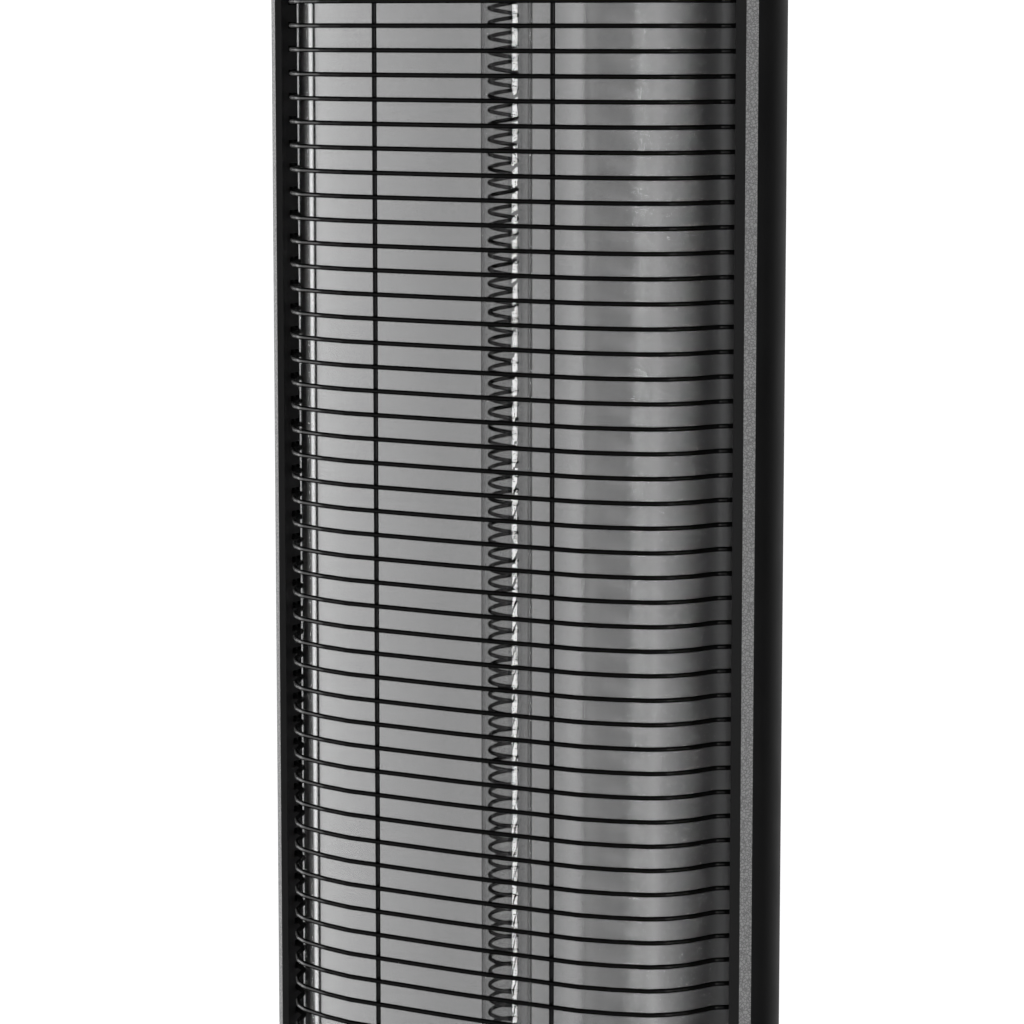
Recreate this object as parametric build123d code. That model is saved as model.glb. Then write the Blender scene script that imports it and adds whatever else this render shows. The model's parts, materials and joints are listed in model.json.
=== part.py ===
from build123d import *
import math
import os

os.makedirs("parts", exist_ok=True)

# Upright carbon heater. Millimetres, +Z up, front faces -Y, origin on the floor
# at the centre of the round base.

# ---------------------------------------------------------------- dimensions
HEIGHT = 897.0            # floor to the top of the cap
BASE_R = 145.0            # round base
FRONT = 46.0              # guard front, ahead of the swivel axis

WIRE_D = 1.5              # guard wire
WIRE_PITCH = 7.5
WIRE_COUNT = 86
WIRE_TOP = 848.75         # uppermost guard wire
UPRIGHT_X = 31.7          # upright wires
EDGE_ROD_D = 2.5

OPEN_LO, OPEN_HI = 205.0, 855.0     # guard opening
COL_LO, COL_HI = 62.0, 887.0        # straight part of the column

TUBE_D, TUBE_WALL = 16.0, 1.0       # lamp tube
TUBE_Y = 28.8                       # behind the guard front
TUBE_LO, TUBE_HI = 192.0, 866.0
COIL_D, COIL_STRAND = 10.0, 1.2
COIL_LO, COIL_HI = 217.0, 843.0
COIL_SHIFT = (-0.95, -0.55)         # the element hangs a little off the tube's axis

HOUSING_T = 1.6
SHEET = 0.8

SWIVEL = 35.0             # each way
TURNTABLE_R = 41.5
GEAR_M = 1.5
SECTOR_TEETH, PINION_TEETH = 72, 16
KNOB_Z, BUTTON_Z, LENS_Z = 148.0, 98.0, 186.0
BUTTON_TRAVEL = 2.5
PLUNGER_TRAVEL = 4.0
PLUNGER_Y = -70.0

# Guard wire in plan, right half: distance from the middle, depth behind the front
GUARD = [(41.84, 1.31), (52.66, 3.76), (63.06, 7.48), (67.94, 11.22), (72.25, 17.03), (75.77, 26.23)]
LIP_ANGLE = 37.7
LIP_X = 85.6


# ------------------------------------------------------------------- helpers
def ly(v):
    return v - FRONT


def box(x0, x1, y0, y1, z0, z1):
    return Pos((x0 + x1) / 2, (y0 + y1) / 2, (z0 + z1) / 2) * Box(abs(x1 - x0), abs(y1 - y0), abs(z1 - z0))


def cyl(r, z0, z1, x=0.0, y=0.0):
    return Pos(x, y, (z0 + z1) / 2) * Cylinder(r, z1 - z0)


def ring(r1, r0, z0, z1, x=0.0, y=0.0):
    return cyl(r1, z0, z1, x, y) - cyl(r0, z0 - 1, z1 + 1, x, y)


def ycyl(r, y0, y1, x=0.0, z=0.0):
    return Pos(x, (y0 + y1) / 2, z) * Rot(90, 0, 0) * Cylinder(r, y1 - y0)


def yring(r1, r0, y0, y1, x=0.0, z=0.0):
    return ycyl(r1, y0, y1, x, z) - ycyl(r0, y0 - 1, y1 + 1, x, z)


def xcyl(r, x0, x1, y=0.0, z=0.0):
    return Pos((x0 + x1) / 2, y, z) * Rot(0, 90, 0) * Cylinder(r, x1 - x0)


def plan(edges):
    return make_face(Curve() + edges)


def prism(face, z0, z1):
    return Pos(0, 0, z0) * extrude(face, z1 - z0)


def poly(points, z0, z1):
    pts = [(x, ly(y)) for x, y in points]
    return prism(plan([Polyline(*pts, close=True)]), z0, z1)


def one(shape):
    s = shape.solids()
    assert len(s) == 1, len(s)
    return s[0]


def group(items):
    out = []
    for it in items:
        out += list(it.solids())
    return Compound(out)


def lead(points, d, radii):
    path = FilletPolyline(*points, radius=radii)
    e = path.edges()
    start = Plane(origin=path @ 0, z_dir=path % 0)
    solid = sweep(start * Circle(d / 2), path=path)
    length = sum(k.length for k in e)
    print("lead d", d, "length", round(length, 1), "radii", radii, "volume ratio", round(solid.volume / (math.pi * d * d / 4 * length), 4))
    return solid


PARTS = {}


# ----------------------------------------------------------- housing profile
def pt(c, r, deg):
    return (c[0] + r * math.cos(math.radians(deg)), c[1] + r * math.sin(math.radians(deg)))


EDGE = (87.4, 28.4)                 # outer edge of the grained strip, right side
R1, R2 = 16.9, 70.0
A0, A1, A2 = -34.2, 26.7, 70.0      # outward normals where the arcs start and end
C1 = (EDGE[0] - R1 * math.cos(math.radians(A0)), EDGE[1] - R1 * math.sin(math.radians(A0)))
P1 = pt(C1, R1, A1)
C2 = (P1[0] - R2 * math.cos(math.radians(A1)), P1[1] - R2 * math.sin(math.radians(A1)))
P2 = pt(C2, R2, A2)
R3 = P2[0] / math.cos(math.radians(A2))
C3 = (0.0, P2[1] - R3 * math.sin(math.radians(A2)))
BACK = C3[1] + R3


def rear_chain(t):
    """Rear outline from the right front edge round the back to the left, inset by t."""
    def q(c, r, deg, side):
        x, y = pt(c, r - t, deg)
        return (side * x, ly(y))
    arcs = []
    for side in (1, -1):
        for c, r, a, b in ((C1, R1, A0, A1), (C2, R2, A1, A2)):
            arcs.append(ThreePointArc(q(c, r, a, side), q(c, r, (a + b) / 2, side), q(c, r, b, side)))
    arcs.append(ThreePointArc(q(C3, R3, A2, 1), (0, ly(C3[1] + R3 - t)), q(C3, R3, A2, -1)))
    return arcs, q(C1, R1, A0, 1), q(C1, R1, A0, -1)


outer, oR, oL = rear_chain(0)
inner, iR, iL = rear_chain(HOUSING_T)
rear = prism(plan(outer + inner + [Line(oR, iR), Line(oL, iL)]), COL_LO, COL_HI)
slots = []
for zc in [86 + 9 * k for k in range(8)] + [790 + 9 * k for k in range(8)]:
    half = 34 if zc > 400 else 30
    slots.append(box(-half, half, ly(78), ly(95), zc - 1.6, zc + 1.6))
for s in slots:
    rear = rear - s
SPACERS = [(-22, 76.0), (22, 76.0), (-22, 470.0), (22, 470.0), (-22, 872.0), (22, 872.0)]
for x, z in SPACERS:
    rear = rear - ycyl(2.2, ly(75), ly(95), x, z)
PARTS["rear_housing"] = one(rear)


# Outline of the whole column, used by cap and foot
COVER = [(40, -1.0), (53.1, 2.3), (63.8, 6.15), (69.0, 10.15), (73.55, 16.3), (76.9, 25.3)]


def full_outline(t=0.0, lower=0.0):
    arcs, r, l = rear_chain(t)
    pts = [r]
    front = [(84.5, 26.1), (81.45, 25.2)] + COVER[::-1]
    front = [(x - t * 0.9, y + t * 0.75) for x, y in front]
    for x, y in front:
        pts.append((x, ly(y)))
    for x, y in front[::-1]:
        pts.append((-x, ly(y)))
    pts.append(l)
    return plan(arcs + [Polyline(*pts)])


# top cap: a lid with a rounded edge, hollow below, with a locating rim
cap = prism(full_outline(), COL_HI, HEIGHT)
try:
    top_edges = cap.edges().filter_by(lambda e: e.center().Z > HEIGHT - 0.01)
    cap = fillet(top_edges, 4.0)
except Exception:
    top_edges = cap.edges().filter_by(lambda e: e.center().Z > HEIGHT - 0.01)
    cap = chamfer(top_edges, 2.5)
cap = cap - prism(full_outline(2.4), COL_HI - 1, HEIGHT - 3.0)
PARTS["top_cap"] = one(cap)

foot = prism(full_outline(), 56.0, COL_LO)
try:
    foot = fillet(foot.edges().filter_by(lambda e: e.center().Z < 56.01), 2.5)
except Exception:
    foot = chamfer(foot.edges().filter_by(lambda e: e.center().Z < 56.01), 1.5)
foot = foot - cyl(13.0, 50, 70)
for a in range(4):
    ang = math.radians(45 + 90 * a)
    foot = foot - cyl(1.8, 50, 60.5, 34 * math.cos(ang), 34 * math.sin(ang))
PARTS["column_base"] = one(foot)

# ------------------------------------------------------------ front profiles
u = (0.784, 0.621)        # along the strip
SECT = [(81.45, 25.2), (84.5, 26.1), (83.57, 27.28), (85.9, 29.12), (85.9, 31.2), (84.6, 31.2),
        (84.6, 30.01), (83.25, 28.94), (83.25, 29.3), (81.45, 29.3)]
STRIP = [(84.5, 26.1), (87.4, 28.4), (86.1, 29.28), (83.57, 27.28)]
WIRES = [WIRE_TOP - WIRE_PITCH * k for k in range(WIRE_COUNT)]


def comb(side):
    """Rear part of the bezel's return wall with one notch for each wire end."""
    z = [COL_LO]
    pts = [(28.96, COL_LO), (33.8, COL_LO)]
    for zw in sorted(WIRES):
        pts += [(33.8, zw - 1.05), (29.3, zw - 1.05), (29.3, zw + 1.05), (33.8, zw + 1.05)]
    pts += [(33.8, COL_HI), (28.96, COL_HI)]
    face = make_face(Curve() + [Polyline(*[(ly(y), zz) for y, zz in pts], close=True)])
    solid = extrude(face, 1.8)                       # in XY, then stood up
    solid = Rot(0, 90, 0) * Rot(0, 0, 90) * solid    # (a, b, c) -> (c, a, b)
    x0 = 81.45 if side > 0 else -83.25
    return Pos(x0, 0, 0) * solid


for side, name in ((1, "right"), (-1, "left")):
    sec = poly([(side * x, y) for x, y in SECT], COL_LO, COL_HI)
    PARTS["bezel_" + name] = one(sec + comb(side))
    PARTS["trim_strip_" + name] = one(poly([(side * x, y) for x, y in STRIP], COL_LO, COL_HI))

# cross rails between the bezels, behind the covers
rails = []
for z0, z1, hole in ((64.0, 66.0, False), (200.4, 202.6, True), (857.4, 859.6, True), (883.0, 885.0, False)):
    r = box(-81.4, 81.4, ly(28.0), ly(36.0), z0, z1)
    if hole:
        r = r - cyl(9.4, z0 - 1, z1 + 1, 0, ly(TUBE_Y))
    rails.append(r)
PARTS["frame_rails"] = group(rails)


# ------------------------------------------------------------- front covers
def cover_shell(z0, z1, closed_top):
    def outline(t):
        pts = [(81.35, 25.5 + t), (76.9 - t * 0.75, 25.5 + t)] + [(x - t * k[0], y + t * k[1]) for (x, y), k in zip(COVER[::-1][1:], ((0.9, 0.45), (0.75, 0.65), (0.55, 0.8), (0.3, 0.95), (0.12, 1.0)))]
        return pts
    o, i = outline(0.0), outline(2.2)
    right = o
    left = [(-x, y) for x, y in o[::-1]]
    ri = i
    li = [(-x, y) for x, y in i[::-1]]
    outer_pts = right + left
    inner_pts = (ri + li)[::-1]
    shell = poly(outer_pts + inner_pts, z0, z1)
    # closing wall that faces the opening
    wall_pts = o + left + [(-81.35, 33.6), (81.35, 33.6)]
    w0, w1 = (z0, z0 + 2.0) if not closed_top else (z1 - 2.0, z1)
    wall = poly(wall_pts, w0, w1)
    wall = wall - cyl(8.9, w0 - 1, w1 + 1, 0, ly(TUBE_Y))
    for sx in (-1, 1):
        wall = wall - cyl(WIRE_D / 2 + 0.15, w0 - 1, w1 + 1, sx * UPRIGHT_X, ly(2.44))
    return shell + wall


PARTS["top_cover"] = one(cover_shell(OPEN_HI, COL_HI, False))

panel = cover_shell(COL_LO, OPEN_LO, True)
panel = panel - ycyl(5.2, ly(-5), ly(10), 0, KNOB_Z)
panel = panel - ycyl(7.35, ly(-5), ly(10), 0, BUTTON_Z)
panel = panel - ycyl(3.05, ly(-5), ly(10), 0, LENS_Z)
for sx in (-1, 1):
    panel = panel + (ycyl(3.2, ly(1.0), ly(12.0), sx * 13.0, BUTTON_Z) - ycyl(1.2, ly(4.0), ly(13.0), sx * 13.0, BUTTON_Z))
PARTS["control_panel"] = one(panel)


# --------------------------------------------------------------------- guard
def guard_path(z):
    lip_y = GUARD[-1][1] + (LIP_X - GUARD[-1][0]) * math.tan(math.radians(LIP_ANGLE))
    right = [(x, ly(y)) for x, y in GUARD] + [(LIP_X, ly(lip_y))]
    pts = [(-x, y) for x, y in right[::-1]] + [(0.0, ly(0.0))] + right
    half = [12, 14, 10, 8, 8, 4]
    radii = half[::-1] + [300] + half
    return FilletPolyline(*[(x, y, z) for x, y in pts], radius=radii)


path = guard_path(0.0)
wire0 = sweep(Plane(origin=path @ 0, z_dir=path % 0) * Circle(WIRE_D / 2), path=path)
wire0 = one(wire0)
print("wire volume ratio", wire0.volume / (math.pi * WIRE_D ** 2 / 4 * sum(e.length for e in path.edges())))
PARTS["guard_wires"] = Compound([Pos(0, 0, z) * wire0 for z in WIRES])
PARTS["guard_uprights"] = group([cyl(WIRE_D / 2, 198.0, 862.0, sx * UPRIGHT_X, ly(2.44)) for sx in (-1, 1)])
PARTS["guard_edge_rods"] = group([cyl(EDGE_ROD_D / 2, 207.0, 853.0, sx * 84.3, ly(35.28)) for sx in (-1, 1)])


# ----------------------------------------------------------------- reflector
RB = 7.85                 # rolled side bend
BEND_C = (73.64, 32.93)
R0, RA, RM = 13.4, 55.6, 81.0       # outward normals: fold, end of the bend, end of the side arc
RS = 95.0                 # side arcs
FOLD_T = 1.5              # thickness of the folded edge
J1 = pt(BEND_C, RB, RA)
CS = (J1[0] - RS * math.cos(math.radians(RA)), J1[1] - RS * math.sin(math.radians(RA)))
J2 = pt(CS, RS, RM)
RC = J2[0] / math.cos(math.radians(RM))
CC = (0.0, J2[1] - RC * math.sin(math.radians(RM)))


def rim_point(t, side):
    x, y = pt(BEND_C, RB + t, R0)
    return (side * x, ly(y))


def trough(t):
    """Right-to-left chain of the visible surface, offset outward by t."""
    def q(c, r, deg, side):
        x, y = pt(c, r + t, deg)
        return (side * x, ly(y))
    arcs = []
    for side in (1, -1):
        arcs.append(ThreePointArc(q(BEND_C, RB, R0, side), q(BEND_C, RB, (R0 + RA) / 2, side), q(BEND_C, RB, RA, side)))
        arcs.append(ThreePointArc(q(CS, RS, RA, side), q(CS, RS, (RA + RM) / 2, side), q(CS, RS, RM, side)))
    arcs.append(ThreePointArc(q(CC, RC, RM, 1), (0, ly(CC[1] + RC + t)), q(CC, RC, RM, -1)))
    return arcs


sheet = plan(trough(0) + trough(SHEET) + [Line(rim_point(0, s), rim_point(SHEET, s)) for s in (1, -1)])
refl = prism(sheet, OPEN_LO + 0.1, OPEN_HI - 0.1)


def bend_point(r, deg, side):
    x, y = pt(BEND_C, r, deg)
    return (side * x, ly(y))


for s in (1, -1):
    # folded edge: a second layer outside the bend and a round nose
    f0, f1, r_in, r_out = R0, R0 + 21.0, RB + SHEET - 0.02, RB + FOLD_T
    fold = plan([ThreePointArc(bend_point(r_in, f0, s), bend_point(r_in, (f0 + f1) / 2, s), bend_point(r_in, f1, s)),
                 Line(bend_point(r_in, f1, s), bend_point(r_out, f1, s)),
                 ThreePointArc(bend_point(r_out, f1, s), bend_point(r_out, (f0 + f1) / 2, s), bend_point(r_out, f0, s)),
                 Line(bend_point(r_out, f0, s), bend_point(r_in, f0, s))])
    nx, ny = bend_point(RB + FOLD_T / 2, R0, s)
    refl = refl + prism(fold, OPEN_LO + 0.1, OPEN_HI - 0.1) + cyl(FOLD_T / 2, OPEN_LO + 0.1, OPEN_HI - 0.1, nx, ny)
REFL_BACK = CC[1] + RC + SHEET
BRACKET_Z = (280.0, 770.0)
for s in (-1, 1):
    for z in BRACKET_Z:
        refl = refl - ycyl(1.5, ly(40), ly(64), s * 40.0, z)
PARTS["reflector"] = one(refl)
print("reflector back", REFL_BACK, "housing back", BACK)


def end_plate(z0, z1):
    face = plan(trough(-0.15) + [Line(rim_point(-0.15, 1), rim_point(-0.15, -1))])
    p = prism(face, z0, z1)
    return p - cyl(8.9, z0 - 1, z1 + 1, 0, ly(TUBE_Y))


PARTS["reflector_end_top"] = one(end_plate(OPEN_HI - 1.1, OPEN_HI - 0.3))
PARTS["reflector_end_bottom"] = one(end_plate(OPEN_LO + 0.3, OPEN_LO + 1.1))

# hat brackets between the reflector and the chassis plate
CH0, CH1 = 66.0, 67.2
brk = []
for z in BRACKET_Z:
    for s in (-1, 1):
        y_at = CS[1] + math.sqrt(RS ** 2 - (40.0 - CS[0]) ** 2) + SHEET
        stem = box(s * 36.5, s * 43.5, ly(y_at + 0.55), ly(CH0), z - 8, z + 8)
        stem = stem - box(s * 37.7, s * 42.3, ly(y_at + 1.75), ly(CH0 + 1), z - 9, z + 9)
        tab = box(s * 43.4, s * 49.0, ly(CH0 - 1.2), ly(CH0), z - 8, z + 8)
        tab2 = box(s * 31.0, s * 36.6, ly(CH0 - 1.2), ly(CH0), z - 8, z + 8)
        rivet = ycyl(1.5, ly(y_at - 1.2), ly(y_at + 1.0), s * 40.0, z) + ycyl(2.6, ly(y_at + 1.4), ly(y_at + 2.4), s * 40.0, z) + ycyl(1.5, ly(y_at), ly(y_at + 2.0), s * 40.0, z)
        brk.append(stem + tab + tab2 + rivet)
PARTS["reflector_brackets"] = group(brk)

chassis = box(-52, 52, ly(CH0), ly(CH1), 63.2, 884.0) + box(-52, 52, ly(CH0 - 14), ly(CH1), 62.0, 63.2)
chassis = chassis - box(-8, 8, ly(CH0 - 20), ly(CH0 - 3), 60, 64)
for x, z in SPACERS:
    chassis = chassis - ycyl(1.6, ly(60), ly(70), x, z)
PARTS["chassis_plate"] = one(chassis)


def back_inner(x):
    return C3[1] + math.sqrt((R3 - HOUSING_T) ** 2 - x * x)


sp, sc = [], []
for x, z in SPACERS:
    yb = back_inner(abs(x) + 4.5)
    sp.append(ycyl(4.5, ly(CH1), ly(yb - 0.05), x, z) - ycyl(1.6, ly(CH1 - 1), ly(yb + 1), x, z))
    yo = C3[1] + math.sqrt(R3 ** 2 - x * x)
    sc.append(ycyl(1.6, ly(CH0 - 4), ly(yo + 0.6), x, z) + ycyl(3.6, ly(yo + 0.6), ly(yo + 2.4), x, z)
              - box(x - 3.0, x + 3.0, ly(yo + 1.5), ly(yo + 3), z - 0.5, z + 0.5) - box(x - 0.5, x + 0.5, ly(yo + 1.5), ly(yo + 3), z - 3.0, z + 3.0))
PARTS["housing_spacers"] = group(sp)
PARTS["housing_screws"] = group(sc)

# ---------------------------------------------------------------------- lamp
PARTS["quartz_tube"] = one(ring(TUBE_D / 2, TUBE_D / 2 - TUBE_WALL, TUBE_LO, TUBE_HI, 0, ly(TUBE_Y)))
cx, cy = COIL_SHIFT[0], ly(TUBE_Y) + COIL_SHIFT[1]
PARTS["carbon_coil"] = one(ring(COIL_D / 2, COIL_D / 2 - COIL_STRAND, COIL_LO, COIL_HI, cx, cy))
tails = []
for z0, z1, zf0, zf1 in ((202.0, COIL_LO - 1.5, COIL_LO - 1.5, COIL_LO), (COIL_HI + 1.5, 857.0, COIL_HI, COIL_HI + 1.5)):
    t = cyl(0.8, z0, z1, cx, cy) + cyl(COIL_D / 2 - 0.2, zf0, zf1, cx, cy)
    tails.append(t)
PARTS["coil_tails"] = group(tails)


def lamp_end(z0, z1, up):
    body = cyl(10.0, z0, z1, 0, ly(TUBE_Y))
    body = fillet(body.edges().filter_by(GeomType.CIRCLE), 0.8)
    if up:      # tube enters from below
        body = body - cyl(TUBE_D / 2, z0 - 1, TUBE_HI, 0, ly(TUBE_Y))
    else:
        body = body - cyl(TUBE_D / 2, TUBE_LO, z1 + 1, 0, ly(TUBE_Y))
    return body


PARTS["lamp_end_bottom"] = one(lamp_end(180.0, 200.0, False))
PARTS["lamp_end_top"] = one(lamp_end(860.0, 880.0, True))


def holder(z0, z1, arm_z):
    c = ring(10.9, 10.02, z0, z1, 0, ly(TUBE_Y)) - box(-6, 6, ly(TUBE_Y - 14), ly(TUBE_Y - 5), z0 - 1, z1 + 1)
    arm = box(-6, 6, ly(TUBE_Y + 10.3), ly(CH0), arm_z, arm_z + 1.2) - cyl(10.4, z0 - 1, z1 + 1, 0, ly(TUBE_Y))
    flange = box(-6, 6, ly(CH0 - 1.2), ly(CH0), arm_z, arm_z + 10)
    return c + arm + flange


PARTS["lamp_holder_bottom"] = one(holder(191.0, 198.0, 192.0))
PARTS["lamp_holder_top"] = one(holder(862.0, 869.0, 863.0))
cut = ycyl(8.0, ly(REFL_BACK + 0.05), ly(REFL_BACK + 4.0), -16.0, 700.0) + ycyl(6.0, ly(REFL_BACK + 4.0), ly(REFL_BACK + 6.5), -16.0, 700.0)
PARTS["thermal_cutout"] = one(cut)

# ------------------------------------------------------------------ controls
PB = ly(1.2)              # rear face of the panel's flat middle
PF = ly(-1.0)
sw = box(-14, 14, PB + 0.05, PB + 16, KNOB_Z - 14, KNOB_Z + 14) + ycyl(4.9, PF - 5.0, PB + 0.1, 0, KNOB_Z)
sw = sw - ycyl(3.05, PF - 6.0, PB + 14.0, 0, KNOB_Z)
PARTS["rotary_switch"] = one(sw)
nut = extrude(RegularPolygon(7.0, 6), 2.2) - Pos(0, 0, -1) * Cylinder(4.9, 8)
nut = Pos(0, PF - 0.05, KNOB_Z) * Rot(90, 0, 0) * nut
PARTS["switch_nut"] = one(nut)
PARTS["selector_shaft"] = one(ycyl(3.0, PF - 14.0, PB + 13.0, 0, KNOB_Z) - box(2.2, 4, PF - 15.0, PF - 6.2, KNOB_Z - 4, KNOB_Z + 4))
kb0, kb1 = PF - 17.0, PF - 0.6
knob = ycyl(19.0, kb0 + 5.5, kb1, 0, KNOB_Z)
knob = fillet(knob.edges().filter_by(lambda e: e.center().Y < kb0 + 5.6), 1.6)
grip = box(-5.0, 5.0, kb0, kb0 + 6.0, KNOB_Z - 17.6, KNOB_Z + 17.6)
grip = fillet(grip.edges().filter_by(Axis.Y), 2.4)
grip = fillet(grip.edges().filter_by(lambda e: e.center().Y < kb0 + 0.01), 1.2)
knob = knob + grip
knob = knob - ycyl(10.0, PF - 6.0, kb1 + 1, 0, KNOB_Z)
knob = knob - (ycyl(3.0, PF - 14.0, kb1 + 1, 0, KNOB_Z) - box(2.2, 4, PF - 15.0, PF - 6.2, KNOB_Z - 4, KNOB_Z + 4))
knob = knob - box(-0.6, 0.6, kb0 - 1, kb0 + 0.5, KNOB_Z + 7, KNOB_Z + 16.6)
PARTS["selector_knob"] = one(knob)

bt = ycyl(7.0, PF - 3.0, PB + 0.8, 0, BUTTON_Z)
bt = fillet(bt.edges().filter_by(lambda e: e.center().Y < PF - 2.9), 0.9)
bt = bt + ycyl(8.6, PB + 0.35, PB + 1.4, 0, BUTTON_Z) + ycyl(2.5, PB + 1.0, PB + 10.8, 0, BUTTON_Z)
PARTS["swing_button"] = one(bt)
ss = box(-6, 6, PB + 5.0, PB + 21.0, BUTTON_Z - 6, BUTTON_Z + 6) - ycyl(2.55, PB + 4.0, PB + 15.0, 0, BUTTON_Z)
PARTS["swing_switch"] = one(ss)
br = box(-17, 17, ly(12.05), ly(13.25), BUTTON_Z - 8, BUTTON_Z + 8) - box(-6.05, 6.05, ly(10), ly(15), BUTTON_Z - 6.05, BUTTON_Z + 6.05)
for sx in (-1, 1):
    br = br - ycyl(1.2, ly(10), ly(15), sx * 13.0, BUTTON_Z)
PARTS["swing_bracket"] = one(br)
ln = ycyl(3.0, PF - 1.2, PB + 1.0, 0, LENS_Z)
ln = fillet(ln.edges().filter_by(lambda e: e.center().Y < PF - 1.1), 1.0) + ycyl(4.0, PB + 0.05, PB + 8.0, 0, LENS_Z)
PARTS["indicator_lens"] = one(ln)

# -------------------------------------------------------------------- wiring
tb = box(-20, 20, ly(45.0), ly(CH0 - 0.05), 90.0, 106.0)
PARTS["terminal_block_column"] = one(tb)
yy = ly(61.2)
PARTS["lamp_leads"] = group([
    lead([(-12, ly(56.0), 106.0), (-12, ly(56.0), 187.0), (0, ly(TUBE_Y + 10.9), 187.0)], 3.0, [14]),
    lead([(12, ly(56.0), 106.0), (12, ly(56.0), 150.0), (14, yy, 190.0), (14, yy, 875.5), (0, ly(TUBE_Y + 10.9), 875.5)], 3.0, [30, 30, 12]),
])
PARTS["switch_leads"] = group([
    lead([(-6, ly(45.0), 98.0), (-6, ly(30.0), 98.0), (-6, ly(30.0), KNOB_Z), (-6, PB + 16.0, KNOB_Z)], 2.4, [6, 6]),
    ycyl(1.2, PB + 21.0, ly(45.0), 2.0, 95.0),
])

# -------------------------------------------------------------------- swivel
tt = cyl(TURNTABLE_R, 51.1, 56.0)
tt = fillet(tt.edges().filter_by(lambda e: e.center().Z < 51.2), 1.0)
tt = tt + cyl(18.0, 24.0, 52.0)
tt = tt - cyl(13.0, 20, 60)
for a in range(4):
    ang = math.radians(45 + 90 * a)
    tt = tt - cyl(1.8, 50, 60, 34 * math.cos(ang), 34 * math.sin(ang))
tt = tt - ring(20, 17.0, 26.0, 27.6)
PARTS["turntable"] = one(tt)
PARTS["turntable_screws"] = group([cyl(1.8, 51.3, 60.4, 34 * math.cos(math.radians(45 + 90 * a)), 34 * math.sin(math.radians(45 + 90 * a))) for a in range(4)])

ALPHA = math.radians(20.0)


def inv(a):
    return math.tan(a) - a


def tooth(teeth, centre, backlash, add, ded):
    rp = GEAR_M * teeth / 2
    rb = rp * math.cos(ALPHA)
    ra, rf = rp + add * GEAR_M, rp - ded * GEAR_M
    half_p = (math.pi * GEAR_M / 2 - backlash) / (2 * rp)
    rs = max(rb, rf)
    pts = []
    for k in range(7):
        r = rs + (ra - rs) * k / 6
        psi = half_p + inv(ALPHA) - inv(math.acos(min(1.0, rb / r)))
        pts.append((r, psi))
    if rf < rb:
        pts = [(rf, pts[0][1])] + pts
    lo = [(r * math.cos(centre - p), r * math.sin(centre - p)) for r, p in pts]
    hi = [(r * math.cos(centre + p), r * math.sin(centre + p)) for r, p in pts[::-1]]
    return lo + hi


CENTRE = GEAR_M * (SECTOR_TEETH + PINION_TEETH) / 2
G0, G1 = 28.5, 33.5
# sector: 21 teeth, 50 degrees each side of +Y
pts = []
step = 2 * math.pi / SECTOR_TEETH
for k in range(-10, 11):
    pts += tooth(SECTOR_TEETH, math.pi / 2 + k * step, 0.16, 0.85, 1.1)
a_lo, a_hi = math.pi / 2 - 10.6 * step, math.pi / 2 + 10.6 * step
rin = 44.0
arc_in = [(rin * math.cos(a_hi + (a_lo - a_hi) * k / 12), rin * math.sin(a_hi + (a_lo - a_hi) * k / 12)) for k in range(13)]
rim = prism(plan([Polyline(*(pts + arc_in), close=True)]), G0, G1)
hub = ring(26.0, 18.0, 28.5, 37.6)
web = box(-12, 12, 22, 46, G0, G1)
arm1 = Rot(0, 0, 38) * web
arm2 = Rot(0, 0, -38) * web
sector = rim + hub + web + arm1 + arm2
sector = sector - cyl(18.0, 20, 40)
PARTS["sector_gear"] = one(sector)
clip = ring(22.0, 17.0, 26.1, 27.5) - box(-9, 9, -30, -8, 25, 29)
PARTS["pivot_clip"] = one(clip)

pp = []
for k in range(PINION_TEETH):
    pp += tooth(PINION_TEETH, -math.pi / 2 + (k + 0.5) * 2 * math.pi / PINION_TEETH, 0.16, 0.85, 1.1)
pinion = prism(plan([Polyline(*pp, close=True)]), G0 - 0.3, G1 + 0.3)
pinion = Pos(0, CENTRE, 0) * (pinion - Cylinder(3.0, 200))
PARTS["drive_pinion"] = one(pinion)
PARTS["drive_shaft"] = one(cyl(3.0, 12.0, 35.5, 0, CENTRE))

motor = cyl(25.0, 7.0, 24.0, 0, CENTRE)
motor = fillet(motor.edges().filter_by(GeomType.CIRCLE), 1.2)
for sx in (-1, 1):
    ear = box(sx * 22, sx * 33, CENTRE - 4, CENTRE + 4, 22.0, 23.2)
    motor = motor + ear - cyl(1.6, 20, 26, sx * 29.5, CENTRE)
motor = motor + cyl(6.0, 23.5, 25.6, 0, CENTRE)
motor = motor - cyl(3.05, 11.5, 40, 0, CENTRE)
PARTS["swing_motor"] = one(motor)

# ---------------------------------------------------------------------- base
T = 3.0


def half_section(inset, z_lo):
    """Right half of the base's section as a closed face in the XZ plane."""
    ro = BASE_R - inset
    top = 50.0 - inset
    a, b = ro - 62.0, top - 20.0
    pts = [(62.0 + a * math.sin(math.radians(k * 7.5)), 20.0 + b * math.cos(math.radians(k * 7.5))) for k in range(13)]
    curve = Spline(*pts, tangents=[(1, 0), (0, -1)])
    edges = [Line((0, z_lo), (0, top)), Line((0, top), (62.0, top)), curve, Line((ro, 20.0), (ro, z_lo)), Line((ro, z_lo), (0, z_lo))]
    return make_face(Curve() + edges)


def revolved(face):
    return revolve(Plane.XZ * face, Axis.Z, 360)


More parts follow.
